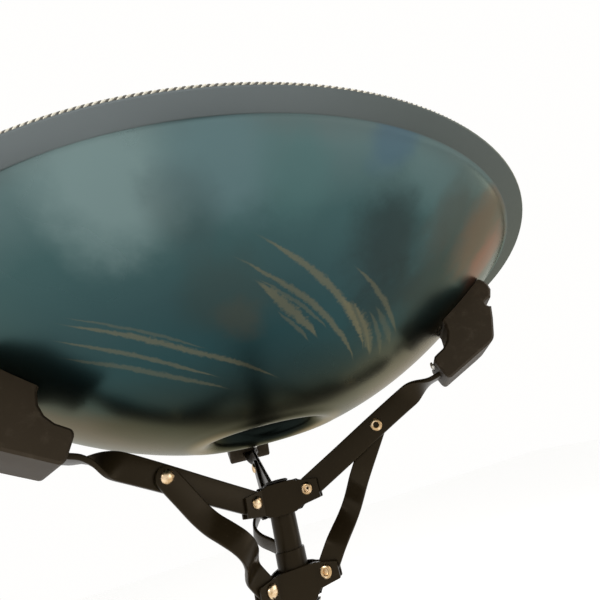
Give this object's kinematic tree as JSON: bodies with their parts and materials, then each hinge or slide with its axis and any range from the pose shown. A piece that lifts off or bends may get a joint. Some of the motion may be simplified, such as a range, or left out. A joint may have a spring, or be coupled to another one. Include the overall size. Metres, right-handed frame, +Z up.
{
  "type": "handpan on basket stand",
  "caption": "Round lens-shaped steel handpan with a bottom port, resting in the rubber-gripped arms of a folding basket stand on a folding tripod.",
  "frame": {"origin": "on the floor, on the stand's axis", "axes": "+Z up along the stand's tube to the pan's dome; an arm and a leg point along +Y"},
  "size_m": [0.56, 0.56, 0.8525],
  "materials": {
    "heat_tinted_steel": "satin heat-tinted steel, blue-green with gold and red at the edges",
    "cord": "twisted cord with light strands",
    "black_paint": "satin black-brown paint",
    "rivet_brass": "brass-plated, worn bright",
    "zinc_plate": "zinc plate",
    "chrome_tube": "bright plate",
    "black_rubber": "moulded rubber, satin",
    "black_plastic": "moulded nylon, fine grain"
  },
  "bodies": {
    "base": {"outer_tube": "black_paint", "tube_end_plug": "black_rubber", "height_clamp": "black_plastic", "brace_collar": "black_plastic", "brace_rivet_1": "rivet_brass", "brace_rivet_2": "rivet_brass", "brace_rivet_3": "rivet_brass"},
    "column": {"height_tube": "chrome_tube", "basket_tube": "black_paint", "tube_cap": "black_plastic", "hub_collar": "black_paint", "upper_hub_plate_1": "black_paint", "upper_hub_plate_2": "black_paint", "upper_hub_plate_3": "black_paint", "upper_hub_rivet_1": "rivet_brass", "upper_hub_rivet_2": "rivet_brass", "upper_hub_rivet_3": "rivet_brass"},
    "lower_hub": {"hub_sleeve": "black_paint", "hub_washer": "zinc_plate", "lower_hub_plate_1": "black_paint", "lower_hub_plate_2": "black_paint", "lower_hub_plate_3": "black_paint", "lower_hub_rivet_1": "rivet_brass", "lower_hub_rivet_2": "rivet_brass", "lower_hub_rivet_3": "rivet_brass"},
    "knob": {"basket_knob": "black_plastic"},
    "pan": {"bottom_shell": "heat_tinted_steel", "top_shell": "heat_tinted_steel", "rim_cord": "cord"},
    "height_screw": {"height_screw": "zinc_plate"},
    "leg_collar": {"leg_collar": "black_plastic", "leg_rivet_1": "rivet_brass", "leg_rivet_2": "rivet_brass", "leg_rivet_3": "rivet_brass"},
    "leg_screw": {"leg_screw": "zinc_plate"},
    "arm_1": {"arm_1": "black_paint", "arm_rivet_1": "rivet_brass", "grip_1": "black_rubber", "grip_screw_1": "zinc_plate"},
    "strut_1": {"strut_1": "black_paint"},
    "leg_1": {"leg_1": "black_paint", "foot_1": "black_rubber"},
    "brace_1": {"brace_1": "black_paint"},
    "arm_2": {"arm_2": "black_paint", "arm_rivet_2": "rivet_brass", "grip_2": "black_rubber", "grip_screw_2": "zinc_plate"},
    "strut_2": {"strut_2": "black_paint"},
    "leg_2": {"leg_2": "black_paint", "foot_2": "black_rubber"},
    "brace_2": {"brace_2": "black_paint"},
    "arm_3": {"arm_3": "black_paint", "arm_rivet_3": "rivet_brass", "grip_3": "black_rubber", "grip_screw_3": "zinc_plate"},
    "strut_3": {"strut_3": "black_paint"},
    "leg_3": {"leg_3": "black_paint", "foot_3": "black_rubber"},
    "brace_3": {"brace_3": "black_paint"}
  },
  "joints": [
    {"name": "height_slide", "type": "slide", "parent": "base", "child": "column", "axis": [0, 0, 1], "range_m": [-0.03, 0.15]},
    {"name": "height_screw_turn", "type": "hinge", "parent": "base", "child": "height_screw", "pos_m": [0, 0, 0.411], "axis": [-0.866, 0.5, 0], "range_deg": [0, 360]},
    {"name": "basket_slide", "type": "slide", "parent": "column", "child": "lower_hub", "axis": [0, 0, -1], "range_m": [0, 0.02]},
    {"name": "knob_turn", "type": "hinge", "parent": "lower_hub", "child": "knob", "pos_m": [0, 0, 0.51], "axis": [0, 0, -1], "range_deg": [0, 1440.5]},
    {"name": "pan_lift", "type": "slide", "parent": "column", "child": "pan", "axis": [0, 0, 1], "range_m": [0, 0.25]},
    {"name": "leg_collar_slide", "type": "slide", "parent": "base", "child": "leg_collar", "axis": [0, 0, 1], "range_m": [0, 0.07086]},
    {"name": "leg_screw_turn", "type": "hinge", "parent": "leg_collar", "child": "leg_screw", "pos_m": [0, 0, 0.262], "axis": [-0.866, 0.5, 0], "range_deg": [0, 360]},
    {"name": "arm_1_fold", "type": "hinge", "parent": "column", "child": "arm_1", "pos_m": [0.02425, -0.014, 0.601], "axis": [0.5, 0.866, 0], "range_deg": [0, 18.74]},
    {"name": "strut_1_fold", "type": "hinge", "parent": "lower_hub", "child": "strut_1", "pos_m": [0.02425, -0.014, 0.5405], "axis": [0.5, 0.866, 0], "range_deg": [0, 4.29]},
    {"name": "leg_1_fold", "type": "hinge", "parent": "leg_collar", "child": "leg_1", "pos_m": [0.02598, -0.015, 0.262], "axis": [0.5, 0.866, 0], "range_deg": [0, 37.08]},
    {"name": "brace_1_fold", "type": "hinge", "parent": "base", "child": "brace_1", "pos_m": [0.02598, -0.015, 0.086], "axis": [-0.5, -0.866, 0], "range_deg": [0, 42.12]},
    {"name": "arm_2_fold", "type": "hinge", "parent": "column", "child": "arm_2", "pos_m": [0, 0.028, 0.601], "axis": [-1, 0, 0], "range_deg": [0, 18.74]},
    {"name": "strut_2_fold", "type": "hinge", "parent": "lower_hub", "child": "strut_2", "pos_m": [0, 0.028, 0.5405], "axis": [-1, 0, 0], "range_deg": [0, 4.29]},
    {"name": "leg_2_fold", "type": "hinge", "parent": "leg_collar", "child": "leg_2", "pos_m": [0, 0.03, 0.262], "axis": [-1, 0, 0], "range_deg": [0, 37.08]},
    {"name": "brace_2_fold", "type": "hinge", "parent": "base", "child": "brace_2", "pos_m": [0, 0.03, 0.086], "axis": [1, 0, 0], "range_deg": [0, 42.12]},
    {"name": "arm_3_fold", "type": "hinge", "parent": "column", "child": "arm_3", "pos_m": [-0.02425, -0.014, 0.601], "axis": [0.5, -0.866, 0], "range_deg": [0, 18.74]},
    {"name": "strut_3_fold", "type": "hinge", "parent": "lower_hub", "child": "strut_3", "pos_m": [-0.02425, -0.014, 0.5405], "axis": [0.5, -0.866, 0], "range_deg": [0, 4.29]},
    {"name": "leg_3_fold", "type": "hinge", "parent": "leg_collar", "child": "leg_3", "pos_m": [-0.02598, -0.015, 0.262], "axis": [0.5, -0.866, 0], "range_deg": [0, 37.08]},
    {"name": "brace_3_fold", "type": "hinge", "parent": "base", "child": "brace_3", "pos_m": [-0.02598, -0.015, 0.086], "axis": [-0.5, 0.866, 0], "range_deg": [0, 42.12]}
  ],
  "couplings": [
    {"joint": "knob_turn", "follows": "basket_slide", "rad_per_m": 1256.6},
    {"joint": "arm_1_fold", "follows": "basket_slide", "rad_per_m": 16.334},
    {"joint": "strut_1_fold", "follows": "basket_slide", "rad_per_m": 3.7303},
    {"joint": "leg_1_fold", "follows": "leg_collar_slide", "rad_per_m": 9.1274},
    {"joint": "brace_1_fold", "follows": "leg_collar_slide", "rad_per_m": 10.369},
    {"joint": "arm_2_fold", "follows": "basket_slide", "rad_per_m": 16.334},
    {"joint": "strut_2_fold", "follows": "basket_slide", "rad_per_m": 3.7303},
    {"joint": "leg_2_fold", "follows": "leg_collar_slide", "rad_per_m": 9.1274},
    {"joint": "brace_2_fold", "follows": "leg_collar_slide", "rad_per_m": 10.369},
    {"joint": "arm_3_fold", "follows": "basket_slide", "rad_per_m": 16.334},
    {"joint": "strut_3_fold", "follows": "basket_slide", "rad_per_m": 3.7303},
    {"joint": "leg_3_fold", "follows": "leg_collar_slide", "rad_per_m": 9.1274},
    {"joint": "brace_3_fold", "follows": "leg_collar_slide", "rad_per_m": 10.369}
  ]
}
